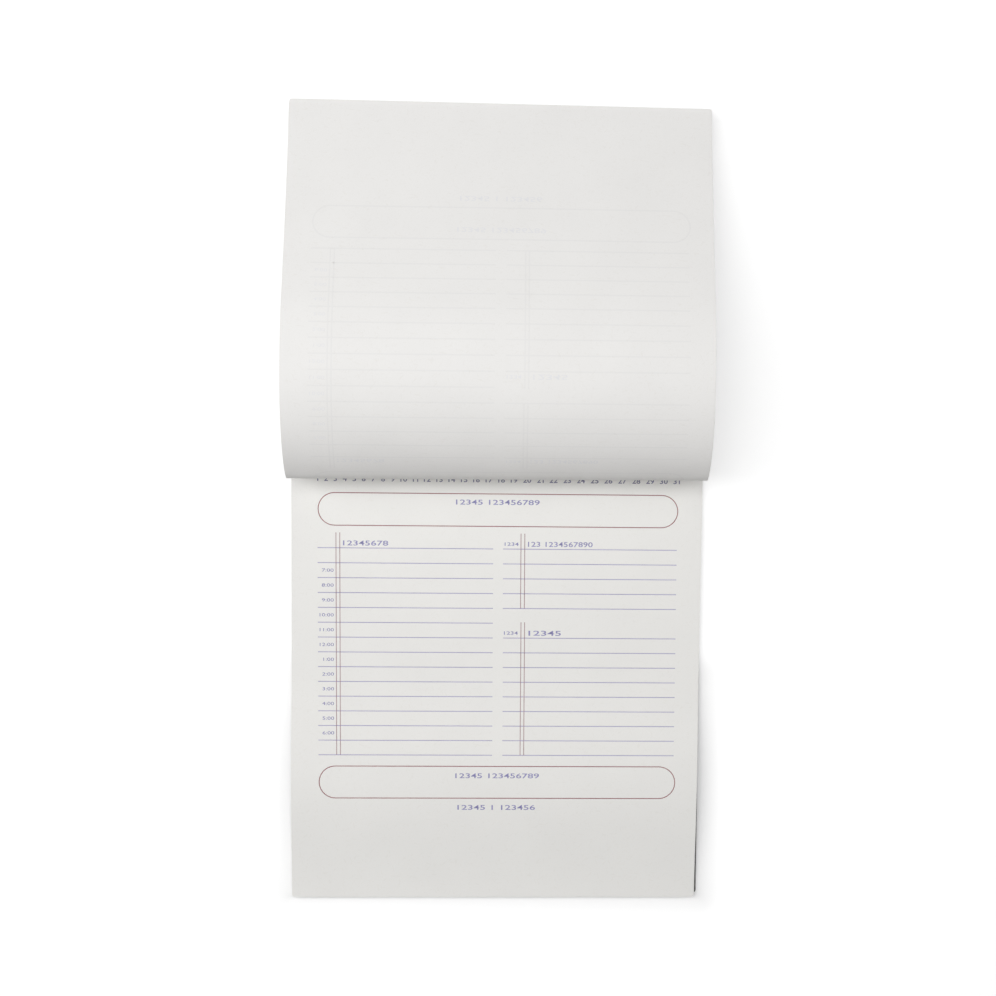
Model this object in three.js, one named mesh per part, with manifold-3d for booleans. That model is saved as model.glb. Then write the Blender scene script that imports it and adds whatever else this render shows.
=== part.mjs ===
// A letter size desk pad held by three screw posts through its head. A few used leaves are turned back
// over the head in a high arch, and the form on the next leaf lies open below them.
//
// Millimetres. X runs across the pad, Y from its foot towards its head, Z up from the desk.
// The origin is under the middle of the leaves, on the underside of the back board.

import * as THREE from 'three';
import { mergeVertices } from 'three/addons/utils/BufferGeometryUtils.js';
import Module from 'manifold-3d';

const wasm = await Module();
wasm.setup();

// The leaves
const LEAF_WIDTH = 215.9;
const LEAF_LENGTH = 279.4;
const LEAF_CORNER = 1.2;
const BLOCK_THICKNESS = 2.4;
const TURNED_THICKNESS = 0.6;

// The back board, cut a little smaller than the leaves and lying askew under them, and the strip that
// clamps their head, cut to their width
const BOARD_THICKNESS = 1.6;
const BOARD_INSET = 1.2;
const BOARD_TURN = 0.75;
const BOARD_SHIFT = -1.1;
const STRIP_DEPTH = 20;
const STRIP_THICKNESS = 1.6;
const BOARD_CORNER = 1.5;

// The pad is bowed off the desk between its foot edge, which touches it, and its flat upper part
const BOW_LENGTH = 125;
const BOW_HEIGHT = 4;

// The screw posts
const POST_COUNT = 3;
const POST_PITCH = 69.85;
const POST_INSET = 10;
const HEAD_RADIUS = 4.75;
const HEAD_THICKNESS = 0.9;
const HEAD_EDGE = 0.3;
const BARREL_RADIUS = 2.5;
const BORE_RADIUS = 1.8;
const SHANK_RADIUS = 1.5;
const SHANK_LENGTH = 3.5;
const SLOT_WIDTH = 1.2;
const SLOT_DEPTH = 0.5;
const SLOT_FIRST_TURN = 25;
const SLOT_NEXT_TURN = 65;

// Clearances
const HOLE_CLEARANCE = 0.3;
const HOLE_OVERRUN = 0.2;
const RECESS_CLEARANCE = 0.4;
const DESK_CLEARANCE = 0.1;
const BARREL_CLEARANCE = 0.3;
const BOW_CLEARANCE = 0.1;

// The turned leaves, from the foot edge of the strip over to their far edge. Each stretch has a length
// and the angle in degrees that it bends towards the head. The crown's angle is what brings the far edge
// to its height above the desk, and the tail's length is what is left of the leaf.
const LIE = { length: 15, turn: 11 };
const HEEL = { length: 38.5, turn: 112 };
const FRONT = { length: 26, turn: 28 };
const SHOULDER = { length: 37.5, turn: 34 };
const CROWN_LENGTH = 37;
const BACK = { length: 45, turn: -2 };
const TAIL_TURN = -10.5;
const FAR_EDGE_HEIGHT = 11;

// How finely curves are stepped
const STEP_ANGLE = 5;
const CORNER_STEPS = 4;
const ROUND_STEPS = 32;
const SOLVER_STEPS = 40;
const STEEPEST_CROWN = 90;
const MERGE_DISTANCE = 1e-5;
const BOW_STEPS = 16;
const PRISM_HEIGHT = 50;

// Heights of the stacked pieces, and the line of the posts
const boardTop = BOARD_THICKNESS;
const pageTop = boardTop + BLOCK_THICKNESS;
const stripBase = pageTop + TURNED_THICKNESS;
const stripTop = stripBase + STRIP_THICKNESS;
const headEdge = LEAF_LENGTH / 2;
const footEdge = headEdge - LEAF_LENGTH;
const postLine = headEdge - POST_INSET;
const holeRadius = BARREL_RADIUS + HOLE_CLEARANCE;
const recessDepth = HEAD_THICKNESS + DESK_CLEARANCE;

const postPlaces = [];
for (let i = 0; i < POST_COUNT; i++) {
  postPlaces.push((i - (POST_COUNT - 1) / 2) * POST_PITCH);
}

const paper = { color: 0xe6e4e2, roughness: 0.85, metalness: 0 };
const turnedPaper = { color: 0xe9e7e5, roughness: 0.85, metalness: 0 };
const charcoalBoard = { color: 0x2d2d30, roughness: 0.9, metalness: 0 };
const aluminium = { color: 0xc9cacc, roughness: 0.35, metalness: 1 };

// A closed geometry as a solid that can be cut
function toSolid(geometry) {
  const bare = geometry.index ? geometry.toNonIndexed() : geometry.clone();
  bare.deleteAttribute('normal');
  bare.deleteAttribute('uv');
  const merged = mergeVertices(bare, MERGE_DISTANCE);
  const mesh = new wasm.Mesh({
    numProp: 3,
    vertProperties: new Float32Array(merged.attributes.position.array),
    triVerts: new Uint32Array(merged.index.array),
  });
  return new wasm.Manifold(mesh);
}

function toGeometry(solid) {
  const mesh = solid.getMesh();
  const geometry = new THREE.BufferGeometry();
  geometry.setAttribute('position', new THREE.BufferAttribute(mesh.vertProperties, 3));
  geometry.setIndex(new THREE.BufferAttribute(mesh.triVerts, 1));
  return geometry;
}

function cut(geometry, tools) {
  let solid = toSolid(geometry);
  for (const tool of tools) {
    solid = solid.subtract(toSolid(tool));
  }
  return toGeometry(solid);
}

// A round drill or counterbore along Z
function drill(radius, x, y, low, high) {
  const geometry = new THREE.CylinderGeometry(radius, radius, high - low, ROUND_STEPS);
  geometry.rotateX(Math.PI / 2);
  geometry.translate(x, y, (low + high) / 2);
  return geometry;
}

// A drill for the barrel at each post, through a sheet between two heights
function postDrills(low, high) {
  return postPlaces.map((x) => drill(holeRadius, x, postLine, low - HOLE_OVERRUN, high + HOLE_OVERRUN));
}

// A tall prism over the outline of a sheet with rounded corners, as wide as the leaves and with its head
// edge on theirs, all drawn in by an inset. It can be turned in plan about the middle of the post line and
// shifted sideways.
function outlinePrism(length, corner, inset = 0, turn = 0, shift = 0) {
  const side = LEAF_WIDTH / 2 - inset - corner;
  const head = headEdge - inset - corner - postLine;
  const foot = headEdge - length + inset + corner - postLine;
  const quarter = Math.PI / 2;
  const outline = new THREE.Shape();
  outline.absarc(side, foot, corner, -quarter, 0);
  outline.absarc(side, head, corner, 0, quarter);
  outline.absarc(-side, head, corner, quarter, 2 * quarter);
  outline.absarc(-side, foot, corner, 2 * quarter, 3 * quarter);
  const geometry = new THREE.ExtrudeGeometry(outline, {
    depth: 2 * PRISM_HEIGHT,
    curveSegments: CORNER_STEPS,
    bevelEnabled: false,
  });
  geometry.rotateZ(THREE.MathUtils.degToRad(turn));
  geometry.translate(shift, postLine, -PRISM_HEIGHT);
  return geometry;
}

// A closed band through sections of four points each, from the head towards the foot: the lower and the
// upper point of the left side, then the same on the right
function band(positions, sections) {
  const faces = [];
  const around = [0, 2, 3, 1];
  for (let i = 0; i + 1 < sections; i++) {
    for (let k = 0; k < around.length; k++) {
      const a = 4 * i + around[k];
      const b = 4 * i + around[(k + 1) % around.length];
      faces.push(a, b, b + 4, a, b + 4, a + 4);
    }
  }
  const end = 4 * (sections - 1);
  faces.push(0, 3, 2, 0, 1, 3);
  faces.push(end, end + 3, end + 1, end, end + 2, end + 3);
  const geometry = new THREE.BufferGeometry();
  geometry.setAttribute('position', new THREE.Float32BufferAttribute(positions, 3));
  geometry.setIndex(faces);
  return geometry;
}

// A slab wider and longer than the pad that is flat but for the bow, which rises as a squared sine
function bowedSlab(bottom, thickness, rise) {
  const ends = LEAF_LENGTH;
  const heights = [[ends, 0]];
  for (let i = BOW_STEPS; i >= 0; i--) {
    const share = i / BOW_STEPS;
    heights.push([footEdge + share * BOW_LENGTH, rise * Math.sin(share * Math.PI) ** 2]);
  }
  heights.push([-ends, 0]);
  const positions = [];
  for (const [y, lift] of heights) {
    const low = bottom + lift;
    for (const x of [-LEAF_WIDTH, LEAF_WIDTH]) {
      positions.push(x, y, low, x, y, low + thickness);
    }
  }
  return band(positions, heights.length);
}

function cutSheet(slab, prism, tools) {
  const solid = toSolid(slab).intersect(toSolid(prism));
  return cut(toGeometry(solid), tools);
}

// A piece turned about Z from a profile of radius and height
function turned(profile) {
  const points = profile.map(([radius, height]) => new THREE.Vector2(radius, height));
  const geometry = new THREE.LatheGeometry(points, ROUND_STEPS);
  geometry.rotateX(Math.PI / 2);
  return geometry;
}

function piece(name, geometry, look) {
  const mesh = new THREE.Mesh(geometry, new THREE.MeshStandardMaterial(look));
  mesh.name = name;
  return mesh;
}

// The board turns in plan about the middle of the post line, so its holes stay on the posts
function backBoard() {
  const slab = bowedSlab(0, BOARD_THICKNESS, BOW_HEIGHT);
  const prism = outlinePrism(LEAF_LENGTH, BOARD_CORNER, BOARD_INSET, BOARD_TURN, BOARD_SHIFT);
  const recesses = postPlaces.map((x) => (
    drill(HEAD_RADIUS + RECESS_CLEARANCE, x, postLine, -HOLE_OVERRUN, recessDepth)
  ));
  const tools = [...postDrills(0, boardTop), ...recesses];
  return piece('back_board', cutSheet(slab, prism, tools), charcoalBoard);
}

// The block rises a hair more than the board at the bow, so that it rests on the flat part and the foot
function pageBlock() {
  const slab = bowedSlab(boardTop, BLOCK_THICKNESS, BOW_HEIGHT + BOW_CLEARANCE);
  const prism = outlinePrism(LEAF_LENGTH, LEAF_CORNER);
  return piece('page_block', cutSheet(slab, prism, postDrills(boardTop, pageTop)), paper);
}

function headStrip() {
  const slab = bowedSlab(stripBase, STRIP_THICKNESS, 0);
  const prism = outlinePrism(STRIP_DEPTH, BOARD_CORNER);
  return piece('head_strip', cutSheet(slab, prism, postDrills(stripBase, stripTop)), charcoalBoard);
}

// Moves a point of the side profile along one arc that bends to the right of its way
function advance(from, length, degrees) {
  const bend = THREE.MathUtils.degToRad(degrees);
  const half = bend / 2;
  const chord = half === 0 ? length : length * Math.sin(half) / half;
  const direction = from.heading - half;
  return {
    y: from.y + chord * Math.cos(direction),
    z: from.z + chord * Math.sin(direction),
    heading: from.heading - bend,
    along: from.along + length,
  };
}

function turnedStretches(crownTurn) {
  const stretches = [
    { length: STRIP_DEPTH, turn: 0 },
    LIE,
    HEEL,
    FRONT,
    SHOULDER,
    { length: CROWN_LENGTH, turn: crownTurn },
    BACK,
  ];
  const used = stretches.reduce((sum, stretch) => sum + stretch.length, 0);
  stretches.push({ length: LEAF_LENGTH - used, turn: TAIL_TURN });
  return stretches;
}

const profileStart = { y: headEdge, z: pageTop, heading: Math.PI, along: 0 };

function farEdge(crownTurn) {
  let point = profileStart;
  for (const stretch of turnedStretches(crownTurn)) {
    point = advance(point, stretch.length, stretch.turn);
  }
  return point;
}

// A steeper crown lowers the far edge, so halving the range finds the one that meets its height
function crownTurnForHeight(height) {
  let low = 0;
  let high = STEEPEST_CROWN;
  for (let i = 0; i < SOLVER_STEPS; i++) {
    const middle = (low + high) / 2;
    if (farEdge(middle).z > height) {
      low = middle;
    } else {
      high = middle;
    }
  }
  return (low + high) / 2;
}

function profilePointAt(along, stretches) {
  let point = profileStart;
  for (const stretch of stretches) {
    const rest = along - point.along;
    if (rest <= stretch.length) {
      return advance(point, rest, stretch.turn * rest / stretch.length);
    }
    point = advance(point, stretch.length, stretch.turn);
  }
  return point;
}

// Places along the leaf where the solid gets a section: the steps of each bend and of the four corners
function sectionPlaces(stretches) {
  const places = [0];
  let start = 0;
  for (const stretch of stretches) {
    const count = Math.max(1, Math.ceil(Math.abs(stretch.turn) / STEP_ANGLE));
    for (let i = 1; i <= count; i++) {
      places.push(start + stretch.length * i / count);
    }
    start += stretch.length;
  }
  for (let i = 1; i <= CORNER_STEPS; i++) {
    const angle = i / CORNER_STEPS * Math.PI / 2;
    const inset = LEAF_CORNER * (1 - Math.cos(angle));
    places.push(inset, LEAF_LENGTH - inset);
  }
  return places.sort((a, b) => a - b);
}

// Half the leaf's width at a distance along it, narrowing round the corners
function halfWidthAt(along) {
  const fromEnd = Math.min(along, LEAF_LENGTH - along);
  const short = Math.max(0, LEAF_CORNER - fromEnd);
  return LEAF_WIDTH / 2 - LEAF_CORNER + Math.sqrt(LEAF_CORNER ** 2 - short ** 2);
}

// The turned leaves as one bent solid. The profile is their outer face, which lies on the block at the
// clamp, and the thickness is laid to the inside of the bend.
function turnedLeaves() {
  const stretches = turnedStretches(crownTurnForHeight(FAR_EDGE_HEIGHT));
  const places = sectionPlaces(stretches);
  const positions = [];
  for (const along of places) {
    const point = profilePointAt(along, stretches);
    const side = halfWidthAt(along);
    const innerY = point.y + Math.sin(point.heading) * TURNED_THICKNESS;
    const innerZ = point.z - Math.cos(point.heading) * TURNED_THICKNESS;
    for (const x of [-side, side]) {
      positions.push(x, point.y, point.z, x, innerY, innerZ);
    }
  }
  const geometry = band(positions, places.length);
  return piece('turned_leaves', cut(geometry, postDrills(pageTop, stripBase)), turnedPaper);
}

// A post has its head in the board's recess and a blind bore from its open end
function post() {
  const end = stripTop - BARREL_CLEARANCE - DESK_CLEARANCE;
  return turned([
    [0, 0],
    [HEAD_RADIUS - HEAD_EDGE, 0],
    [HEAD_RADIUS, HEAD_EDGE],
    [HEAD_RADIUS, HEAD_THICKNESS],
    [BARREL_RADIUS, HEAD_THICKNESS],
    [BARREL_RADIUS, end],
    [BORE_RADIUS, end],
    [BORE_RADIUS, HEAD_THICKNESS],
    [0, HEAD_THICKNESS],
  ]);
}

// A slotted screw, its head seated at height zero
function screw() {
  const body = turned([
    [0, -SHANK_LENGTH],
    [SHANK_RADIUS, -SHANK_LENGTH],
    [SHANK_RADIUS, 0],
    [HEAD_RADIUS, 0],
    [HEAD_RADIUS, HEAD_THICKNESS - HEAD_EDGE],
    [HEAD_RADIUS - HEAD_EDGE, HEAD_THICKNESS],
    [0, HEAD_THICKNESS],
  ]);
  const slotLength = 3 * HEAD_RADIUS;
  const slot = new THREE.BoxGeometry(slotLength, SLOT_WIDTH, 2 * SLOT_DEPTH);
  slot.translate(0, 0, HEAD_THICKNESS);
  return cut(body, [slot]);
}

const group = new THREE.Group();
group.add(backBoard(), pageBlock(), turnedLeaves(), headStrip());

postPlaces.forEach((x, i) => {
  const postMesh = piece(`post_${i + 1}`, post(), aluminium);
  postMesh.position.set(x, postLine, DESK_CLEARANCE);
  const screwMesh = piece(`post_screw_${i + 1}`, screw(), aluminium);
  screwMesh.position.set(x, postLine, stripTop);
  screwMesh.rotation.z = THREE.MathUtils.degToRad(SLOT_FIRST_TURN + i * SLOT_NEXT_TURN);
  group.add(postMesh, screwMesh);
});

export default group;
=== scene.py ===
"""A post-bound desk pad: its leaves turned over the head edge in a tall arch, shown from above.

Sizes are in millimetres until a mesh is filled. +X is the page's right, +Y its head, +Z up from the desk.
"""

import math

import bpy
import bmesh
import numpy as np
from mathutils import Matrix, Vector


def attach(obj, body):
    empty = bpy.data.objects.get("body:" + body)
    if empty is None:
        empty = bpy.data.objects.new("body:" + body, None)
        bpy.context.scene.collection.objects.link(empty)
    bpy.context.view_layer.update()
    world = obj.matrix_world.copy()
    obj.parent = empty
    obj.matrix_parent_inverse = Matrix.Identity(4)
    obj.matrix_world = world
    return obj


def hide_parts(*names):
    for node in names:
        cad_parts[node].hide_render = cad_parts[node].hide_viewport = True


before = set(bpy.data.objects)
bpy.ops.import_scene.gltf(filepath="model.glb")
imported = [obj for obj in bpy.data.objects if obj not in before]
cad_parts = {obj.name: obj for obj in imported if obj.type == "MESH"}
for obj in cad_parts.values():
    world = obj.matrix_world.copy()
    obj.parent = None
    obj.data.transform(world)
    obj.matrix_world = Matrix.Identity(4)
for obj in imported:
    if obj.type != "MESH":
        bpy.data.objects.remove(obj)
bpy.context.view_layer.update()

bl_info = {
    "name": "Post-bound Desk Pad",
    "version": (1, 0, 0),
    "blender": (4, 5, 0),
    "location": "3D View > Sidebar > Desk Pad",
    "description": "Builds a printed desk pad with its leaves turned over the binding",
    "category": "Add Mesh",
}

MM = 0.001
BODY = "root"
SEED = 7

LEAF_WIDTH = 215.9
LEAF_LENGTH = 279.4
LEAF_CORNER = 1.2
LEAF_THICKNESS = 0.1
LEAF_PITCH = 0.12
BOARD_TOP = 1.6
PAGE_TOP = 4.0
STACK_LEAVES = 19
STACK_SPREAD = 0.1
STACK_FAN = 0.08
POST_LINE = 129.7
BOW_LENGTH = 125.0
BOW_HEIGHT = 4.1

STRIP_DEPTH = 20.0
FAR_EDGE_HEIGHT = 11.0
LIE = (15.0, 11.0)
HEEL = (38.5, 112.0)
FRONT = (26.0, 28.0)
SHOULDER = (37.5, 34.0)
CROWN_LENGTH = 37.0
BACK = (45.0, -2.0)
TAIL_TURN = -10.5
TURNED_LEAVES = 5
TURNED_LENGTH = 277.9
LEAN = math.radians(0.478)
TAIL_SLANT = 0.0037
SIDE_DRIFT = -0.31
RIPPLE = 0.2
NOSE_REACH = 0.47
NOSE_SLANT = 0.0066
NOSE_END = 104.0

PAGE_FAN = 3.06e-5
FORM_TURN = math.radians(0.262)
FORM_FOOT = 77.8
RULE_PITCH = 7.9375
FILM_TOP = 0.012
FILM_BASE = -0.02
GHOST_WIDTH = 0.75
# The turned leaves' paper, a little darker and bluer than the page's: painted shade.
TURNED_PAINTED_SHADE = (0.991, 0.989, 0.999)
GHOST_TINT = (0.958, 0.957, 0.97)
GHOST_BLUE = (0.939, 0.944, 0.981)

EYE = (2.78, 202.63, 1073.98)
# The box and fade of a painted shadow band on the floor round the pad's foot.
FOOT_SHADOW_MIDDLE = (0.5, -79.0)
FOOT_SHADOW_HALF = (111.5, 61.0)
FOOT_SHADOW_FADE = 15.0


def linear(red, green, blue):
    """A colour written as screen values from 0 to 255, turned into scene light."""
    share = np.array([red, green, blue]) / 255
    light = np.where(share <= 0.04045, share / 12.92, ((share + 0.055) / 1.055) ** 2.4)
    return tuple(float(value) for value in light)


def colour_property(name, description, screen):
    return bpy.props.FloatVectorProperty(
        name=name, description=description, subtype="COLOR", size=3, min=0, max=1, default=linear(*screen)
    )


class DESKPAD_PG_sizes(bpy.types.PropertyGroup):
    """Sizes of the paper and its print that a user would change."""

    rule_width: bpy.props.FloatProperty(
        name="Rule width", description="Width of a writing rule, in millimetres", default=0.38, min=0.05
    )
    divider_width: bpy.props.FloatProperty(
        name="Divider width", description="Width of an upright divider, in millimetres", default=0.4, min=0.05
    )
    frame_width: bpy.props.FloatProperty(
        name="Frame width", description="Width of the round-ended frames' line, in millimetres", default=0.46, min=0.05
    )
    edge_round: bpy.props.FloatProperty(
        name="Edge rounding", description="Rounding of the board's edges, in millimetres", default=0.25, min=0.0
    )
    metal_round: bpy.props.FloatProperty(
        name="Metal rounding", description="Rounding of the metal edges, in millimetres", default=0.12, min=0.0
    )


class DESKPAD_PG_colours(bpy.types.PropertyGroup):
    """Colours of the paper, board, metal and inks."""

    paper: colour_property("Paper", "White uncoated paper", (238, 237, 234))
    board: colour_property("Board", "Charcoal backing board", (66, 66, 70))
    metal: colour_property("Metal", "Satin aluminium", (196, 198, 201))
    rule_ink: colour_property("Rule ink", "Slate violet ink of the writing rules", (158, 151, 190))
    divider_ink: colour_property("Divider ink", "Greyed rosewood ink of the dividers", (166, 134, 140))
    frame_ink: colour_property("Frame ink", "Rosewood ink of the round-ended frames", (142, 88, 92))
    heading_ink: colour_property("Heading ink", "Pale blue ink of the headings", (140, 138, 182))
    number_ink: colour_property("Number ink", "Blue ink of the hours", (122, 120, 172))
    # Darker than the other inks: partly the darker print of the day numbers, partly painted shade from the arch's
    # front above them.
    date_ink: colour_property("Date ink", "Dark blue-grey ink of the day numbers", (106, 104, 136))
    floor: colour_property("Floor", "White desk top", (250, 250, 250))


class DESKPAD_PG_stage(bpy.types.PropertyGroup):
    """Light and camera."""

    key_power: bpy.props.FloatProperty(
        name="Key power", description="Power of the large soft lamp", unit="POWER", default=9.9, min=0
    )
    key_width: bpy.props.FloatProperty(
        name="Key width", description="Width of the large soft lamp", unit="LENGTH", default=1.3, min=0.01
    )
    key_depth: bpy.props.FloatProperty(
        name="Key depth", description="Depth of the large soft lamp", unit="LENGTH", default=0.75, min=0.01
    )
    fill_power: bpy.props.FloatProperty(
        name="Fill power", description="Power of the lamp above the foot", unit="POWER", default=0.6, min=0
    )
    left_power: bpy.props.FloatProperty(
        name="Left power", description="Power of the low lamp on the left", unit="POWER", default=6.1, min=0
    )
    right_power: bpy.props.FloatProperty(
        name="Right power", description="Power of the low lamp on the right", unit="POWER", default=2.9, min=0
    )
    dome: bpy.props.FloatProperty(
        name="Dome", description="Strength of the even light from all round", default=0.12, min=0, max=1
    )
    floor_lift: bpy.props.FloatProperty(
        name="Floor lift", description="Whiteness of the floor as the camera sees it", default=0.44, min=0, max=1
    )
    # Lower whiteness in a band round the pad's foot: a painted shadow there.
    foot_lift: bpy.props.FloatProperty(
        name="Foot lift", description="The same whiteness round the pad's foot", default=0.14, min=0, max=1
    )
    floor_share: bpy.props.FloatProperty(
        name="Floor share", description="Share of its lit colour that the camera sees", default=0.8, min=0, max=1
    )


# Surfaces: every shape is worked out as arrays of points on a grid.


def bow(y):
    """Height of the bow near the foot: a squared sine hump over the first stretch, flat beyond it."""
    along = np.clip((y + LEAF_LENGTH / 2) / BOW_LENGTH, 0, 1)
    return BOW_HEIGHT * np.sin(np.pi * along) ** 2


def fanned(x, y):
    """Leaves fan by a hair: x times the distance from the head edge, times the fan, is added along the page."""
    return y + PAGE_FAN * x * (LEAF_LENGTH / 2 - y)


def on_page(x, y, n):
    """The point n above the top page, at x from its middle and y from its middle."""
    return np.stack([x, fanned(x, y), PAGE_TOP + bow(y) + n], axis=-1)


def path_stretches(crown_turn):
    """The turned leaf's path as starts, points, headings and turning rates of its arcs.

    Each arc starts where the one before ends, with the same heading; headings fall as the path turns right.
    """
    arcs = [(STRIP_DEPTH, 0.0), LIE, HEEL, FRONT, SHOULDER, (CROWN_LENGTH, crown_turn), BACK]
    arcs.append((LEAF_LENGTH - sum(length for length, _ in arcs), TAIL_TURN))
    rows = [(0.0, LEAF_LENGTH / 2, PAGE_TOP, math.pi, 0.0)]
    for length, turn in arcs:
        start, y, z, heading, _ = rows[-1]
        rate = math.radians(turn) / length
        rows[-1] = (start, y, z, heading, rate)
        half = rate * length / 2
        chord = length * np.sinc(half / np.pi)
        y += chord * math.cos(heading - half)
        z += chord * math.sin(heading - half)
        rows.append((start + length, y, z, heading - 2 * half, rate))
    return np.array(rows)


def solved_path():
    """Halves a span of crown turns until the leaf's far edge hovers at its height above the desk."""
    low, high = 0.0, 90.0
    for _ in range(40):
        middle = (low + high) / 2
        if path_stretches(middle)[-1, 2] > FAR_EDGE_HEIGHT:
            low = middle
        else:
            high = middle
    return path_stretches(low)


PATH = solved_path()


def turned_path(s):
    """Y, Z and heading at s along the turned leaf: start plus the chord of the arc, which is a sine over its angle."""
    k = np.clip(np.searchsorted(PATH[:, 0], s, side="right") - 1, 0, len(PATH) - 2)
    start, y, z, heading, rate = PATH[k].transpose(-1, *range(np.ndim(s)))
    half = rate * (s - start) / 2
    chord = (s - start) * np.sinc(half / np.pi)
    return y + chord * np.cos(heading - half), z + chord * np.sin(heading - half), heading - 2 * half


def on_turned(x, s, n):
    """The point n outside the turned leaf, at x from its middle and s along it.

    The path is carried across. The leaf leans a little to one side and ripples, more so towards its far edge.
    Its nose is slanted the other way and stands out by a squared sine hump.
    """
    y, z, heading = turned_path(s)
    along = np.clip((s - STRIP_DEPTH) / (LEAF_LENGTH - STRIP_DEPTH), 0, 2)
    out = n + RIPPLE * along * np.sin(x / 31 + s / 47) * np.sin(s / 58 + 1.1)
    nose = np.sin(np.pi * np.clip((s - STRIP_DEPTH) / (NOSE_END - STRIP_DEPTH), 0, 1)) ** 2
    askew = x * (NOSE_SLANT * nose - LEAN * along - TAIL_SLANT * along**3) - NOSE_REACH * nose
    return np.stack([x + SIDE_DRIFT * along, y - out * np.sin(heading) + askew, z + out * np.cos(heading)], axis=-1)


def leaf_rows(length, steps):
    """Distances along a leaf, close together round its corners and even between them."""
    near = LEAF_CORNER * (1 - np.cos(np.linspace(0, np.pi / 2, 6)))
    middle = np.linspace(LEAF_CORNER, length - LEAF_CORNER, steps)[1:-1]
    return np.concatenate([near, middle, length - near[::-1]])


def half_width(rows, length):
    """Half the leaf's width at each row: full, less a quarter circle at each end."""
    short = np.clip(LEAF_CORNER - np.minimum(rows, length - rows), 0, None)
    return LEAF_WIDTH / 2 - LEAF_CORNER + np.sqrt(np.clip(LEAF_CORNER**2 - short**2, 0, None))


def leaf_grid(length, rows, columns):
    """Across and along coordinates of a leaf's grid, with its corners rounded."""
    along = leaf_rows(length, rows)
    across = np.linspace(-1, 1, columns)[:, None] * half_width(along, length)[None, :]
    return across, np.broadcast_to(along[None, :], across.shape)


def closed_sheet(top, base):
    """A closed slab from two grids of the same shape: both faces and a wall round the rim.

    The top's normals follow the first way crossed with the second.
    """
    n, m = top.shape[:2]
    ids = np.arange(n * m).reshape(n, m)
    upper = np.stack([ids[:-1, :-1], ids[1:, :-1], ids[1:, 1:], ids[:-1, 1:]], axis=-1).reshape(-1, 4)
    rim = np.concatenate([ids[:-1, 0], ids[-1, :-1], ids[:0:-1, -1], ids[0, :0:-1]])
    after = np.roll(rim, -1)
    wall = np.stack([rim, rim + n * m, after + n * m, after], axis=-1)
    faces = np.concatenate([upper, upper[:, ::-1] + n * m, wall])
    return np.concatenate([top.reshape(-1, 3), base.reshape(-1, 3)]), faces


def ribbon(path, width, closed=False):
    """A flat film along a path: four corners of its section carried along, offset to each side and up and down.

    Points are x, y on the paper and the height off it; a closed path has no ends.
    """
    path = np.asarray(path, float)
    ahead = np.roll(path, -1, axis=0) - path
    behind = path - np.roll(path, 1, axis=0)
    if not closed:
        ahead[-1] = behind[-1]
        behind[0] = ahead[0]
    ahead /= np.linalg.norm(ahead, axis=1)[:, None]
    behind /= np.linalg.norm(behind, axis=1)[:, None]
    way = ahead + behind
    way /= np.linalg.norm(way, axis=1)[:, None]
    reach = width / 2 / np.clip((way * ahead).sum(axis=1), 0.5, 1)
    side = np.stack([way[:, 1], -way[:, 0]], axis=-1) * reach[:, None]
    k = len(path)
    points = np.zeros((k, 4, 3))
    points[:, 0, :2] = points[:, 3, :2] = path + side
    points[:, 1, :2] = points[:, 2, :2] = path - side
    points[:, :2, 2] = FILM_TOP
    points[:, 2:, 2] = FILM_BASE
    steps = np.arange(k if closed else k - 1)
    corner = np.arange(4)
    here = steps[:, None] * 4 + corner
    there = (steps[:, None] + 1) % k * 4 + corner
    faces = np.stack([here, there, np.roll(there, -1, axis=1), np.roll(here, -1, axis=1)], axis=-1).reshape(-1, 4)
    if not closed:
        faces = np.concatenate([faces, [[3, 2, 1, 0][::-1]], [(k - 1) * 4 + corner[::-1]]])
    return points.reshape(-1, 3), faces


def straight(start, end, width, step=6.0):
    """A straight ribbon, cut into even steps so that it can follow a curved sheet."""
    start, end = np.array(start, float), np.array(end, float)
    count = max(2, int(np.linalg.norm(end - start) / step) + 2)
    share = np.linspace(0, 1, count)[:, None]
    return ribbon(start + (end - start) * share, width)


def stadium(left, right, low, high, width):
    """A frame with half-circle ends: two straight sides joined by two half circles."""
    radius = (high - low) / 2
    middle = (high + low) / 2
    turn = np.linspace(-np.pi / 2, np.pi / 2, 25)
    bend = np.stack([np.cos(turn), np.sin(turn)], axis=-1) * radius
    count = 32
    foot = np.stack([np.linspace(left + radius, right - radius, count), np.full(count, low)], axis=-1)
    head = np.stack([np.linspace(right - radius, left + radius, count), np.full(count, high)], axis=-1)
    path = np.concatenate([foot, (right - radius, middle) + bend[1:-1], head, (left + radius, middle) - bend[1:-1]])
    return ribbon(path, width, closed=True)


def joined(parts):
    """Several point and face arrays as one."""
    offsets = np.cumsum([0] + [len(points) for points, _ in parts[:-1]])
    points = np.concatenate([points for points, _ in parts])
    faces = [list(row) for (_, rows), offset in zip(parts, offsets) for row in np.asarray(rows) + offset]
    return points, faces


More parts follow.
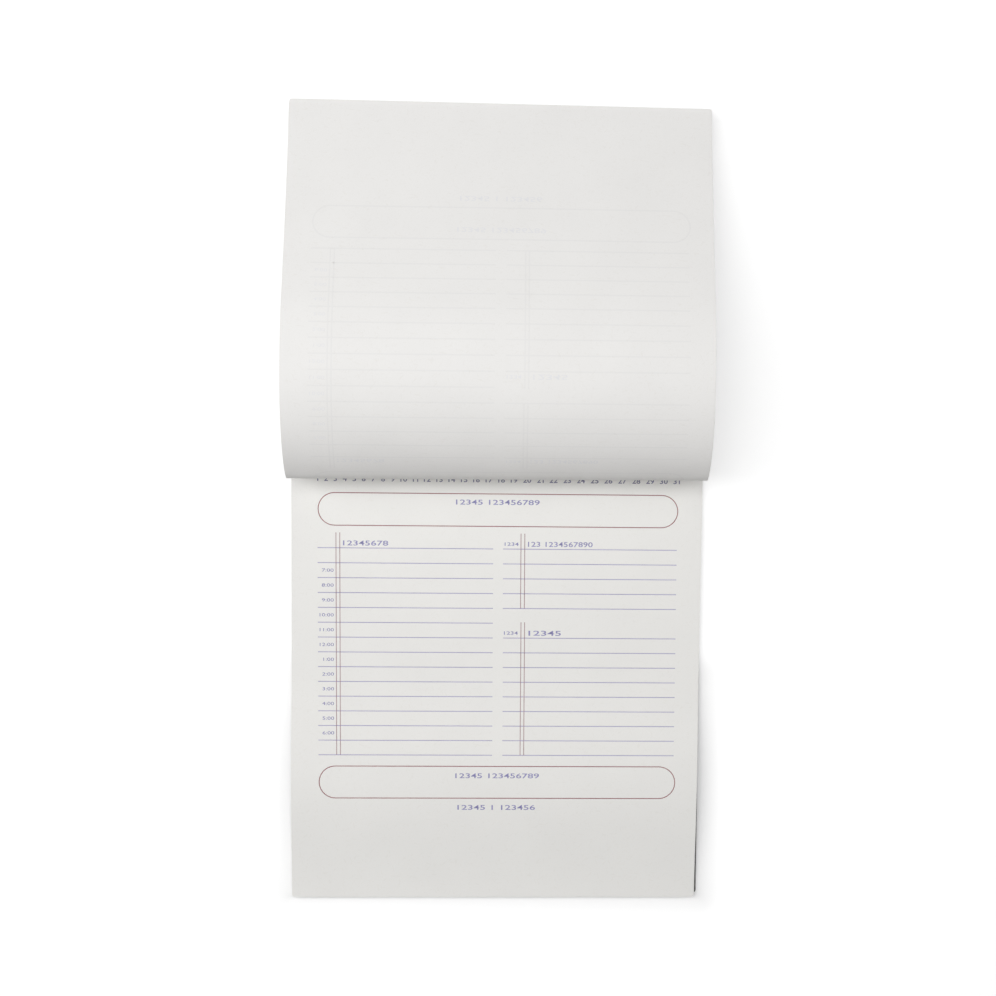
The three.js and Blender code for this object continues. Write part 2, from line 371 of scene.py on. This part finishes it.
class NumberPress:
    """Turns numbers set in Blender's own plain font into films on the paper."""

    def __init__(self):
        self.curve = bpy.data.curves.new("number_press", "FONT")
        self.curve.extrude = 0.5
        self.curve.resolution_u = 3
        self.holder = bpy.data.objects.new("number_press", self.curve)
        bpy.context.scene.collection.objects.link(self.holder)
        self.depth = FILM_TOP - FILM_BASE

    def cast(self, body, weight=0.0):
        """Points and triangles of one number at a size of one, with its strokes thickened by the weight."""
        self.curve.body = body
        self.curve.offset = weight
        bpy.context.view_layer.update()
        graph = bpy.context.evaluated_depsgraph_get()
        mesh = self.holder.evaluated_get(graph).to_mesh()
        mesh.calc_loop_triangles()
        points = np.zeros(len(mesh.vertices) * 3, np.float32)
        mesh.vertices.foreach_get("co", points)
        faces = np.zeros(len(mesh.loop_triangles) * 3, np.int32)
        mesh.loop_triangles.foreach_get("vertices", faces)
        self.holder.evaluated_get(graph).to_mesh_clear()
        return points.reshape(-1, 3).astype(float), faces.reshape(-1, 3)

    def set(self, body, left, low, height, stretch=1.0, weight=0.0):
        """The number with its lower left corner at left, low: scaled to its height and stretched across."""
        points, faces = self.cast(body, weight)
        scale = height / self.digit_height()
        points[:, 0] = (points[:, 0] - points[:, 0].min()) * scale * stretch + left
        points[:, 1] = points[:, 1] * scale + low
        points[:, 2] = FILM_BASE + (points[:, 2] + 0.5) * self.depth
        return points, faces

    def span(self, body, left, right, low, height):
        """The number stretched to run from left to right."""
        points, faces = self.set(body, 0, low, height, weight=0.008)
        points[:, 0] = left + points[:, 0] * (right - left) / points[:, 0].max()
        return points, faces

    def digit_height(self):
        points, _ = self.cast("0")
        return points[:, 1].max() - points[:, 1].min()

    def close(self):
        bpy.data.objects.remove(self.holder)
        bpy.data.curves.remove(self.curve)


def make_piece(name, points, faces, material, slot, smooth=True, weld=0.0):
    """A mesh object from points in millimetres, that rides on the part's body and takes the given material. The slot
    is not used.
    """
    mesh = bpy.data.meshes.new(name)
    mesh.from_pydata((np.asarray(points) * MM).tolist(), [], [list(face) for face in faces])
    if weld:
        shape = bmesh.new()
        shape.from_mesh(mesh)
        bmesh.ops.remove_doubles(shape, verts=shape.verts, dist=weld * MM)
        shape.to_mesh(mesh)
        shape.free()
    mesh.validate()
    mesh.polygons.foreach_set("use_smooth", np.full(len(mesh.polygons), smooth))
    mesh.set_sharp_from_angle(angle=math.radians(35))
    mesh.materials.append(material)
    piece = bpy.data.objects.new(name, mesh)
    bpy.context.scene.collection.objects.link(piece)
    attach(piece, BODY)
    return piece


def finished_copy(name, node, rounding, material):
    """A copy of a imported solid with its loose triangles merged, flat faces joined and its edges rounded."""
    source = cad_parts[node]
    shape = bmesh.new()
    shape.from_mesh(source.data)
    bmesh.ops.remove_doubles(shape, verts=shape.verts, dist=1e-6)
    bmesh.ops.dissolve_limit(
        shape, angle_limit=math.radians(0.4), verts=shape.verts, edges=shape.edges, use_dissolve_boundaries=False
    )
    mesh = bpy.data.meshes.new(name)
    shape.to_mesh(mesh)
    shape.free()
    mesh.polygons.foreach_set("use_smooth", np.full(len(mesh.polygons), True))
    mesh.set_sharp_from_angle(angle=math.radians(35))
    mesh.materials.append(material)
    piece = bpy.data.objects.new(name, mesh)
    bpy.context.scene.collection.objects.link(piece)
    bevel = piece.modifiers.new("edge_rounding", "BEVEL")
    bevel.width = rounding * MM
    bevel.segments = 2
    bevel.limit_method = "ANGLE"
    bevel.angle_limit = math.radians(35)
    bevel.harden_normals = False
    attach(piece, BODY)
    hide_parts(node)
    return piece


# Finishes.


def add_node(tree, kind, **settings):
    node = tree.nodes.new(kind)
    for name, value in settings.items():
        setattr(node, name, value)
    return node


def feed(tree, socket, value):
    """Links a socket to another, or sets it to a plain value."""
    if isinstance(value, bpy.types.NodeSocket):
        tree.links.new(value, socket)
    else:
        socket.default_value = value


def reckon(tree, operation, *values):
    node = add_node(tree, "ShaderNodeMath", operation=operation)
    for socket, value in zip(node.inputs, values):
        feed(tree, socket, value)
    return node.outputs[0]


def noise(tree, vector, scale, detail=3.0, roughness=0.55):
    node = add_node(tree, "ShaderNodeTexNoise")
    feed(tree, node.inputs["Vector"], vector)
    feed(tree, node.inputs["Scale"], scale)
    node.inputs["Detail"].default_value = detail
    node.inputs["Roughness"].default_value = roughness
    return node.outputs[0]


def new_group(name, inputs, outputs):
    """A node group with its named sockets, its input node and its output node."""
    tree = bpy.data.node_groups.new(name, "ShaderNodeTree")
    for label, kind, value in inputs:
        socket = tree.interface.new_socket(label, in_out="INPUT", socket_type=kind)
        socket.default_value = value
    for label, kind in outputs:
        tree.interface.new_socket(label, in_out="OUTPUT", socket_type=kind)
    return tree, tree.nodes.new("NodeGroupInput"), tree.nodes.new("NodeGroupOutput")


def grain_group():
    """Fine fibres and broad cloudiness: the colour times one plus the amount times the mean of two noises."""
    if "material_grain" in bpy.data.node_groups:
        return bpy.data.node_groups["material_grain"]
    tree, inlet, outlet = new_group(
        "material_grain",
        [
            ("Colour", "NodeSocketColor", (0.8, 0.8, 0.8, 1)),
            ("Amount", "NodeSocketFloat", 0.05),
            ("Fine scale", "NodeSocketFloat", 1500.0),
            ("Broad scale", "NodeSocketFloat", 40.0),
            ("Stretch", "NodeSocketVector", (1, 1, 1)),
        ],
        [("Colour", "NodeSocketColor"), ("Height", "NodeSocketFloat"), ("Cloud", "NodeSocketFloat")],
    )
    place = add_node(tree, "ShaderNodeTexCoord")
    stretched = add_node(tree, "ShaderNodeVectorMath", operation="MULTIPLY")
    tree.links.new(place.outputs["Object"], stretched.inputs[0])
    tree.links.new(inlet.outputs["Stretch"], stretched.inputs[1])
    fine = noise(tree, stretched.outputs[0], inlet.outputs["Fine scale"], 3.0, 0.6)
    broad = noise(tree, place.outputs["Object"], inlet.outputs["Broad scale"], 2.0, 0.5)
    both = reckon(tree, "ADD", fine, broad)
    swing = reckon(tree, "MULTIPLY", reckon(tree, "SUBTRACT", both, 1.0), inlet.outputs["Amount"])
    strength = reckon(tree, "ADD", swing, 1.0)
    tinted = add_node(tree, "ShaderNodeVectorMath", operation="SCALE")
    tree.links.new(inlet.outputs["Colour"], tinted.inputs[0])
    tree.links.new(strength, tinted.inputs["Scale"])
    tree.links.new(tinted.outputs[0], outlet.inputs["Colour"])
    tree.links.new(fine, outlet.inputs["Height"])
    tree.links.new(broad, outlet.inputs["Cloud"])
    return tree


def fleck_group():
    """Long pale fibres: a stretched noise kept only where it peaks."""
    if "fibre_flecks" in bpy.data.node_groups:
        return bpy.data.node_groups["fibre_flecks"]
    tree, inlet, outlet = new_group(
        "fibre_flecks",
        [("Scale", "NodeSocketFloat", 700.0), ("Threshold", "NodeSocketFloat", 0.62)],
        [("Mask", "NodeSocketFloat")],
    )
    place = add_node(tree, "ShaderNodeTexCoord")
    layers = []
    for turn in (20, 80, 140):
        turned = add_node(tree, "ShaderNodeMapping", vector_type="TEXTURE")
        turned.inputs["Rotation"].default_value = (0, 0, math.radians(turn))
        turned.inputs["Scale"].default_value = (1, 6, 1)
        tree.links.new(place.outputs["Object"], turned.inputs["Vector"])
        value = noise(tree, turned.outputs[0], inlet.outputs["Scale"], 1.0, 0.4)
        layers.append(reckon(tree, "GREATER_THAN", value, inlet.outputs["Threshold"]))
    most = reckon(tree, "MAXIMUM", reckon(tree, "MAXIMUM", layers[0], layers[1]), layers[2])
    tree.links.new(most, outlet.inputs["Mask"])
    return tree


def new_material(name, roughness):
    """A material with one Principled shader and nothing else yet."""
    material = bpy.data.materials.new(name)
    material.use_nodes = True
    tree = material.node_tree
    shader = tree.nodes["Principled BSDF"]
    shader.inputs["Roughness"].default_value = roughness
    return material, tree, shader


def grain_into(tree, shader, colour, amount, fine, broad, stretch=(1, 1, 1), bump=0.1, depth=0.05):
    """Feeds a shader's colour and normal from the shared grain."""
    grain = add_node(tree, "ShaderNodeGroup")
    grain.node_tree = grain_group()
    grain.inputs["Colour"].default_value = (*colour, 1)
    grain.inputs["Amount"].default_value = amount
    grain.inputs["Fine scale"].default_value = fine
    grain.inputs["Broad scale"].default_value = broad
    grain.inputs["Stretch"].default_value = stretch
    tree.links.new(grain.outputs["Colour"], shader.inputs["Base Color"])
    relief = add_node(tree, "ShaderNodeBump")
    relief.inputs["Strength"].default_value = bump
    relief.inputs["Distance"].default_value = depth * MM
    tree.links.new(grain.outputs["Height"], relief.inputs["Height"])
    tree.links.new(relief.outputs[0], shader.inputs["Normal"])
    return grain


def kept(name, build):
    """A material by name, built only once."""
    found = bpy.data.materials.get(name)
    return found if found else build(name)


def paper_material(name="paper_white", tint=(1, 1, 1)):
    """Uncoated paper: matt, with fine fibre bump, faint cloudiness and a few darker fibres."""

    def build(title):
        colours = bpy.context.scene.desk_pad_colours
        material, tree, shader = new_material(title, 0.78)
        shader.inputs["Specular IOR Level"].default_value = 0.3
        colour = tuple(channel * share for channel, share in zip(colours.paper, tint))
        grain = grain_into(tree, shader, colour, 0.045, 1800.0, 34.0, bump=0.12, depth=0.06)
        flecks = add_node(tree, "ShaderNodeGroup")
        flecks.node_tree = fleck_group()
        flecks.inputs["Scale"].default_value = 1500.0
        flecks.inputs["Threshold"].default_value = 0.7
        mix = add_node(tree, "ShaderNodeMix", data_type="RGBA", blend_type="MULTIPLY")
        tree.links.new(reckon(tree, "MULTIPLY", flecks.outputs["Mask"], 0.35), mix.inputs["Factor"])
        tree.links.new(grain.outputs["Colour"], mix.inputs["A"])
        mix.inputs["B"].default_value = (0.93, 0.92, 0.9, 1)
        tree.links.new(mix.outputs["Result"], shader.inputs["Base Color"])
        rough = reckon(tree, "ADD", 0.68, reckon(tree, "MULTIPLY", grain.outputs["Height"], 0.2))
        tree.links.new(rough, shader.inputs["Roughness"])
        return material

    return kept(name, build)


def ink_material(name, colour_name):
    """Offset ink: the paper's own grain breaks its film a little."""

    def build(title):
        colours = bpy.context.scene.desk_pad_colours
        material, tree, shader = new_material(title, 0.6)
        shader.inputs["Specular IOR Level"].default_value = 0.3
        grain_into(tree, shader, tuple(getattr(colours, colour_name)), 0.35, 2600.0, 160.0, bump=0.08, depth=0.03)
        return material

    return kept(name, build)


def board_material():
    """Charcoal board: dark felted fibre with paler flecks, rubbed lighter towards its edges."""

    def build(title):
        colours = bpy.context.scene.desk_pad_colours
        material, tree, shader = new_material(title, 0.88)
        shader.inputs["Specular IOR Level"].default_value = 0.25
        grain = grain_into(tree, shader, tuple(colours.board), 0.5, 900.0, 55.0, bump=0.35, depth=0.12)
        flecks = add_node(tree, "ShaderNodeGroup")
        flecks.node_tree = fleck_group()
        flecks.inputs["Scale"].default_value = 650.0
        flecks.inputs["Threshold"].default_value = 0.64
        mix = add_node(tree, "ShaderNodeMix", data_type="RGBA")
        tree.links.new(reckon(tree, "MULTIPLY", flecks.outputs["Mask"], 0.28), mix.inputs["Factor"])
        tree.links.new(grain.outputs["Colour"], mix.inputs["A"])
        mix.inputs["B"].default_value = (*linear(150, 148, 144), 1)
        rubbed = add_node(tree, "ShaderNodeMix", data_type="RGBA")
        tree.links.new(edge_mask(tree, grain.outputs["Cloud"]), rubbed.inputs["Factor"])
        tree.links.new(mix.outputs["Result"], rubbed.inputs["A"])
        rubbed.inputs["B"].default_value = (*linear(118, 117, 116), 1)
        tree.links.new(rubbed.outputs["Result"], shader.inputs["Base Color"])
        return material

    return kept("board_charcoal", build)


def edge_mask(tree, cloud):
    """A mask that grows within a millimetre or so of the board's outline, broken up by the cloudiness."""
    place = add_node(tree, "ShaderNodeTexCoord")
    parts = add_node(tree, "ShaderNodeSeparateXYZ")
    tree.links.new(place.outputs["Object"], parts.inputs[0])
    beyond = []
    for axis, half in ((0, LEAF_WIDTH / 2), (1, LEAF_LENGTH / 2)):
        away = reckon(tree, "ABSOLUTE", parts.outputs[axis])
        share = add_node(tree, "ShaderNodeMapRange", interpolation_type="SMOOTHSTEP")
        tree.links.new(away, share.inputs["Value"])
        share.inputs["From Min"].default_value = (half - 2.5) * MM
        share.inputs["From Max"].default_value = (half + 0.8) * MM
        beyond.append(share.outputs[0])
    most = reckon(tree, "MAXIMUM", *beyond)
    return reckon(tree, "MULTIPLY", most, reckon(tree, "MULTIPLY", cloud, 0.5))


def metal_material(name, stretch, fine, rough):
    """Satin metal: fine scratches along one way, that vary its roughness and its normal."""

    def build(title):
        colours = bpy.context.scene.desk_pad_colours
        material, tree, shader = new_material(title, rough)
        shader.inputs["Metallic"].default_value = 1.0
        grain = grain_into(
            tree, shader, tuple(colours.metal), 0.12, fine, 60.0, stretch=stretch, bump=0.12, depth=0.02
        )
        wear = reckon(tree, "ADD", rough - 0.08, reckon(tree, "MULTIPLY", grain.outputs["Height"], 0.2))
        tree.links.new(wear, shader.inputs["Roughness"])
        return material

    return kept(name, build)


# The printed form, in millimetres from the page's lower left corner.


def rule_height(index):
    return 78.4 + RULE_PITCH * index


def form_rules(width):
    """Every writing rule: one column on the left, two blocks on the right."""
    blocks = [(13.9, 106.4, range(15)), (111.6, 203.2, range(10, 15)), (111.8, 203.3, range(9))]
    return [straight((a, rule_height(i)), (b, rule_height(i)), width) for a, b, rows in blocks for i in rows]


def form_dividers(width):
    """The three pairs of upright dividers, in short steps so that they follow the turned leaf's curve."""
    low, high = rule_height(0), 197.7
    upper, lower = rule_height(10), rule_height(8) + 8.5
    pairs = [(23.6, low, high), (25.6, low, high), (121.0, upper, high + 0.1), (123.0, upper, high + 0.1)]
    pairs += [(121.3, low, lower), (123.2, low, lower)]
    return [straight((x, a), (x, b), width, 1.2) for x, a, b in pairs]


def form_frames(width):
    """The two round-ended frames."""
    return [stadium(14.3, 203.4, 201.5, 218.7, width), stadium(14.2, 204.1, 54.9, 72.3, width)]


def form_headings(press):
    """Plain counting numbers where a planner has its headings."""
    top, lower = rule_height(14) + 1.35, rule_height(8) + 1.4
    rows = [
        ("12345678", 27.3, 51.1, top, 2.6),
        ("123 1234567890", 124.7, 158.8, top, 2.6),
        ("1234", 112.4, 119.8, top + 0.4, 1.8),
        ("12345", 125.3, 142.5, lower, 2.6),
        ("1234", 112.3, 119.7, lower + 0.4, 1.8),
        ("12345 123456789", 86.7, 130.7, 213.0, 2.6),
        ("12345 123456789", 86.8, 131.5, 65.9, 2.6),
        ("12345 1 123456", 88.0, 129.5, 48.6, 2.6),
    ]
    return [press.span(*row) for row in rows]


def form_hours(press):
    """Hours from seven to six down the left column, centred between the rules."""
    hours = [7, 8, 9, 10, 11, 12, 1, 2, 3, 4, 5, 6]
    placed = []
    for row, hour in enumerate(hours):
        points, faces = press.set(f"{hour}:00", 0, rule_height(12.5 - row) - 0.85, 1.75, 1.5)
        points[:, 0] += 22.3 - points[:, 0].max()
        placed.append((points, faces))
    return placed


def form_dates(press):
    """Days from 1 to 31 in a row at the head, at their own widths and with even gaps."""
    cast = [press.set(str(day), 0, 224.85, 2.6, 1.2, 0.012) for day in range(1, 32)]
    widths = np.array([points[:, 0].max() for points, _ in cast])
    gap = (204.3 - 13.9 - widths.sum()) / (len(cast) - 1)
    starts = 13.9 + np.concatenate([[0], np.cumsum(widths + gap)[:-1]])
    for (points, _), start in zip(cast, starts):
        points[:, 0] += start
    return cast


def printed_on_page(points):
    """Form coordinates on the top page: moved to its middle, turned a little and drawn in on the bow.

    The form was measured as on a flat page, so a point on the bow is drawn in towards the place below the eye by
    the share of the eye's height that the bow has there.
    """
    x = points[:, 0] - LEAF_WIDTH / 2
    flat = points[:, 1] - LEAF_LENGTH / 2 + FORM_FOOT - rule_height(0)
    y = flat
    for _ in range(3):
        share = bow(y) / (EYE[2] - PAGE_TOP)
        y = flat + (EYE[1] - flat) * share
    return on_page(x - FORM_TURN * flat + (EYE[0] - x) * share, y, points[:, 2])


def printed_on_turned(points, side):
    """Form coordinates on the turned leaf: side is 1 outside, where it shows through, and -1 on the printed face."""
    x = points[:, 0] - LEAF_WIDTH / 2
    s = TURNED_LENGTH - points[:, 1] + FORM_TURN * x
    inside = (TURNED_LEAVES - 1) * LEAF_PITCH + LEAF_THICKNESS
    n = points[:, 2] if side > 0 else -inside - points[:, 2]
    return on_turned(x, s, n)


class DeskPadOperator(bpy.types.Operator):
    """What the pad's operators share."""

    bl_options = {"REGISTER", "UNDO"}


class DESKPAD_OT_board(DeskPadOperator):
    """Finishes the backing board: a bowed, slightly turned charcoal board with soft edges."""

    bl_idname = "desk_pad.board"
    bl_label = "Backing board"

    def execute(self, context):
        sizes = context.scene.desk_pad_sizes
        finished_copy("backing_board", "back_board", sizes.edge_round, board_material())
        return {"FINISHED"}


class DESKPAD_OT_pages(DeskPadOperator):
    """Stacks the flat leaves, each a thin sheet that follows the bow and lies a little out of line, and the top page."""

    bl_idname = "desk_pad.pages"
    bl_label = "Page stack"

    def execute(self, context):
        chance = np.random.default_rng(SEED)
        across, along = leaf_grid(LEAF_LENGTH, 60, 9)
        y = along - LEAF_LENGTH / 2
        leaves = []
        for level in range(STACK_LEAVES):
            shift = chance.normal(0, STACK_SPREAD, 2)
            fan = 1 - level / STACK_LEAVES
            turn = math.radians(STACK_FAN) * fan + math.radians(chance.normal(0, 0.008))
            away = POST_LINE - y
            px = across + shift[0] + turn * away
            py = y + shift[1] + turn * across
            base = BOARD_TOP + level * LEAF_PITCH + bow(py)
            py = fanned(px, py)
            top = np.stack([px, py, base + LEAF_THICKNESS], axis=-1)
            leaves.append(closed_sheet(top, np.stack([px, py, base], axis=-1)))
        stack = make_piece("leaf_stack", *joined(leaves), paper_material(), "paper")
        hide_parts("page_block")
        across, along = leaf_grid(LEAF_LENGTH, 200, 9)
        y = along - LEAF_LENGTH / 2
        top = on_page(across, y, 0.0)
        page = make_piece("top_page", *closed_sheet(top, on_page(across, y, -LEAF_THICKNESS)), paper_material(), "paper")
        if len(page.data.polygons) == 0:
            raise RuntimeError("the top page has no faces")
        return {"FINISHED"}


class DESKPAD_OT_turned(DeskPadOperator):
    """Turns five leaves over the head in a tall arch: one path carried across, each leaf inside the one before."""

    bl_idname = "desk_pad.turned"
    bl_label = "Turned leaves"

    def execute(self, context):
        chance = np.random.default_rng(SEED + 1)
        turn = float(PATH[0, 3] - PATH[-1, 3])
        leaves = []
        for level in range(TURNED_LEAVES):
            out = -level * LEAF_PITCH
            across, along = leaf_grid(TURNED_LENGTH, 230, 25)
            reach = (-out * turn + chance.normal(0, 0.12)) * (level > 0)
            along = along * (TURNED_LENGTH + reach) / TURNED_LENGTH
            across = across + chance.normal(0, 0.12) * (level > 0)
            leaves.append(closed_sheet(on_turned(across, along, out), on_turned(across, along, out - LEAF_THICKNESS)))
        # A slightly darker, bluer copy of the paper: painted shade on the turned leaves.
        paper = paper_material("paper_turned", TURNED_PAINTED_SHADE)
        outer = make_piece("turned_leaf", *leaves[0], paper, "paper")
        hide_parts("turned_leaves")
        make_piece("turned_leaves_inner", *joined(leaves[1:]), paper, "paper")
        return {"FINISHED"}


class DESKPAD_OT_form(DeskPadOperator):
    """Prints the planner form on the top page and the turned leaf: rules, dividers, frames, headings and numbers."""

    bl_idname = "desk_pad.form"
    bl_label = "Printed form"

    def execute(self, context):
        sizes = context.scene.desk_pad_sizes
        press = NumberPress()
        numbers = {"headings": form_headings(press), "hours": form_hours(press), "dates": form_dates(press)}
        press.close()
        layers = [
            ("rules", form_rules(sizes.rule_width), ink_material("ink_rules", "rule_ink")),
            ("dividers", form_dividers(sizes.divider_width), ink_material("ink_dividers", "divider_ink")),
            ("frames", form_frames(sizes.frame_width), ink_material("ink_frames", "frame_ink")),
            ("headings", numbers["headings"], ink_material("ink_headings", "heading_ink")),
            ("hours", numbers["hours"], ink_material("ink_numbers", "number_ink")),
            # The day numbers' ink holds painted shade from the arch's front as well as their darker print.
            ("dates", numbers["dates"], ink_material("ink_dates", "date_ink")),
        ]
        for name, parts, ink in layers:
            points, faces = joined(parts)
            make_piece(f"form_{name}", printed_on_page(points), faces, ink, "paper", False, 1e-5)
            flipped = [face[::-1] for face in faces]
            make_piece(f"turned_{name}", printed_on_turned(points, -1), flipped, ink, "paper", False, 1e-5)
        lines = form_rules(GHOST_WIDTH) + form_dividers(GHOST_WIDTH) + form_frames(GHOST_WIDTH)
        shown = [
            ("lines", lines, GHOST_TINT),
            ("numbers", [part for parts in numbers.values() for part in parts], GHOST_BLUE),
        ]
        for name, parts, tint in shown:
            points, faces = joined(parts)
            paper = paper_material(f"paper_shown_{name}", tint)
            make_piece(f"shown_{name}", printed_on_turned(points, 1), faces, paper, "paper", False, 1e-5)
        return {"FINISHED"}


class DESKPAD_OT_binding(DeskPadOperator):
    """Finishes the strip of board, the posts and their slotted screws."""

    bl_idname = "desk_pad.binding"
    bl_label = "Binding"

    def execute(self, context):
        sizes = context.scene.desk_pad_sizes
        post = metal_material("post_aluminium", (1, 1, 0.2), 1400.0, 0.3)
        finished_copy("binding_strip", "head_strip", sizes.edge_round, board_material())
        for number in (1, 2, 3):
            finished_copy(f"binding_post_{number}", f"post_{number}", sizes.metal_round, post)
            finished_copy(f"binding_screw_{number}", f"post_screw_{number}", sizes.metal_round, post)
        return {"FINISHED"}


class DESKPAD_OT_stage(DeskPadOperator):
    """Lays the white desk top, with a painted shadow band round the pad's foot, and sets the soft lamps, the
    surroundings and the camera above the pad.
    """

    bl_idname = "desk_pad.stage"
    bl_label = "Stage"

    def execute(self, context):
        stage = context.scene.desk_pad_stage
        make_floor(stage)
        make_world(stage.dome)
        make_lamp("key", stage.key_power, (stage.key_width, stage.key_depth), (-0.2, 0.3, 1.25), (0.0, 0.06, 0.0))
        make_lamp("fill", stage.fill_power, (1.0, 1.0), (0.05, -0.5, 1.2), (0.0, -0.1, 0.0))
        make_lamp("left", stage.left_power, (0.9, 0.9), (-1.1, 0.42, 1.0), (0.0, 0.0, 0.0))
        make_lamp("right", stage.right_power, (0.8, 0.8), (0.9, 0.42, 1.15), (0.0, 0.0, 0.0))
        make_camera()
        return {"FINISHED"}


def near_foot(tree):
    """A mask of painted shadow on the floor round the pad's foot: one beside the leaves, easing to nothing a little
    further out.

    It falls with the distance from a box: the root of the squares of how far x and y lie beyond its sides.
    """
    place = add_node(tree, "ShaderNodeTexCoord")
    parts = add_node(tree, "ShaderNodeSeparateXYZ")
    tree.links.new(place.outputs["Object"], parts.inputs[0])
    squares = []
    for axis, middle, half in ((0, FOOT_SHADOW_MIDDLE[0], FOOT_SHADOW_HALF[0]), (1, FOOT_SHADOW_MIDDLE[1], FOOT_SHADOW_HALF[1])):
        away = reckon(tree, "ABSOLUTE", reckon(tree, "SUBTRACT", parts.outputs[axis], middle * MM))
        beyond = reckon(tree, "MAXIMUM", reckon(tree, "SUBTRACT", away, half * MM), 0)
        squares.append(reckon(tree, "MULTIPLY", beyond, beyond))
    distance = reckon(tree, "SQRT", reckon(tree, "ADD", *squares))
    share = add_node(tree, "ShaderNodeMapRange", interpolation_type="SMOOTHSTEP")
    tree.links.new(distance, share.inputs["Value"])
    share.inputs["From Min"].default_value = FOOT_SHADOW_FADE * MM
    share.inputs["From Max"].default_value = 0
    return share.outputs[0]


def make_floor(stage):
    """A wide flat sheet at the desk's height.

    The camera sees a share of its lit colour with even white added. Round the foot of the pad it sees all of its lit
    colour and less white: a painted shadow band there.
    """
    reach = 3000.0
    points = np.array([(-reach, -reach, 0), (reach, -reach, 0), (reach, reach, 0), (-reach, reach, 0)]) * MM
    mesh = bpy.data.meshes.new("desk_top")
    mesh.from_pydata(points.tolist(), [], [(0, 1, 2, 3)])
    material, tree, shader = new_material("desk_white", 0.9)
    shader.inputs["Specular IOR Level"].default_value = 0.1
    seen = add_node(tree, "ShaderNodeLightPath").outputs["Is Camera Ray"]
    # Painted shadow round the pad's foot: more of the lit colour and less added white there.
    foot = near_foot(tree)
    share = reckon(tree, "ADD", reckon(tree, "MULTIPLY", foot, 1 - stage.floor_share), stage.floor_share)
    dimmed = reckon(tree, "ADD", reckon(tree, "MULTIPLY", seen, reckon(tree, "SUBTRACT", share, 1)), 1)
    colour = add_node(tree, "ShaderNodeVectorMath", operation="SCALE")
    colour.inputs[0].default_value = tuple(bpy.context.scene.desk_pad_colours.floor)
    tree.links.new(dimmed, colour.inputs["Scale"])
    tree.links.new(colour.outputs[0], shader.inputs["Base Color"])
    lift = reckon(tree, "MULTIPLY", foot, stage.foot_lift - stage.floor_lift)
    lift = reckon(tree, "ADD", lift, stage.floor_lift)
    shader.inputs["Emission Color"].default_value = (1, 1, 1, 1)
    tree.links.new(reckon(tree, "MULTIPLY", seen, lift), shader.inputs["Emission Strength"])
    mesh.materials.append(material)
    floor = bpy.data.objects.new("desk_top", mesh)
    bpy.context.scene.collection.objects.link(floor)


def make_world(dome):
    """White to the camera and in reflections, and a dim even dome for everything else."""
    world = bpy.data.worlds.new("studio")
    world.use_nodes = True
    tree = world.node_tree
    sky = tree.nodes["Background"]
    sky.inputs["Color"].default_value = (1, 1, 1, 1)
    rays = add_node(tree, "ShaderNodeLightPath")
    direct = reckon(tree, "MAXIMUM", rays.outputs["Is Camera Ray"], rays.outputs["Is Glossy Ray"])
    direct = reckon(tree, "MAXIMUM", direct, rays.outputs["Is Transmission Ray"])
    strength = reckon(tree, "MAXIMUM", direct, dome)
    tree.links.new(strength, sky.inputs["Strength"])
    bpy.context.scene.world = world


def make_lamp(name, power, size, place, aim):
    """A large oval lamp at a place, facing the point that it is aimed at, its width kept level."""
    lamp = bpy.data.lights.new(name, "AREA")
    lamp.shape = "ELLIPSE"
    lamp.size, lamp.size_y = size
    lamp.energy = power
    away = (Vector(place) - Vector(aim)).normalized()
    holder = bpy.data.objects.new(name, lamp)
    holder.location = place
    holder.rotation_euler = (-math.asin(away.y), math.atan2(away.x, away.z), 0)
    bpy.context.scene.collection.objects.link(holder)


def make_camera():
    """The camera above the head end, tilted towards the foot: turns about X, Y and Z in that order from straight down."""
    lens = bpy.data.cameras.new("camera")
    lens.sensor_width = 36.0
    lens.lens = 2050 / 996 * 36.0
    lens.shift_x = (498 - 530) / 996
    lens.clip_start = 0.01
    camera = bpy.data.objects.new("camera", lens)
    turn = Matrix.Rotation(math.radians(-6.725), 4, "X")
    turn = turn @ Matrix.Rotation(math.radians(-0.77), 4, "Y")
    turn = turn @ Matrix.Rotation(math.radians(0.612), 4, "Z")
    camera.matrix_world = Matrix.Translation(Vector(EYE) * MM) @ turn
    bpy.context.scene.collection.objects.link(camera)
    bpy.context.scene.camera = camera


class DESKPAD_PT_panel(bpy.types.Panel):
    """Lists the pad's operators in the order in which they are run."""

    bl_label = "Desk Pad"
    bl_idname = "DESKPAD_PT_panel"
    bl_space_type = "VIEW_3D"
    bl_region_type = "UI"
    bl_category = "Desk Pad"

    def draw(self, context):
        for operator in OPERATORS:
            self.layout.operator(operator.bl_idname)


OPERATORS = [
    DESKPAD_OT_board,
    DESKPAD_OT_pages,
    DESKPAD_OT_turned,
    DESKPAD_OT_form,
    DESKPAD_OT_binding,
    DESKPAD_OT_stage,
]
GROUPS = {
    "desk_pad_sizes": DESKPAD_PG_sizes,
    "desk_pad_colours": DESKPAD_PG_colours,
    "desk_pad_stage": DESKPAD_PG_stage,
}
CLASSES = [*GROUPS.values(), *OPERATORS, DESKPAD_PT_panel]


def register():
    for kind in CLASSES:
        bpy.utils.register_class(kind)
    for name, group in GROUPS.items():
        setattr(bpy.types.Scene, name, bpy.props.PointerProperty(type=group))


def unregister():
    for name in GROUPS:
        delattr(bpy.types.Scene, name)
    for kind in reversed(CLASSES):
        bpy.utils.unregister_class(kind)


def main():
    register()
    bpy.context.scene.view_settings.view_transform = "Standard"
    bpy.ops.desk_pad.board()
    bpy.ops.desk_pad.pages()
    bpy.ops.desk_pad.turned()
    bpy.ops.desk_pad.form()
    bpy.ops.desk_pad.binding()
    bpy.ops.desk_pad.stage()


if __name__ == "__main__":
    main()
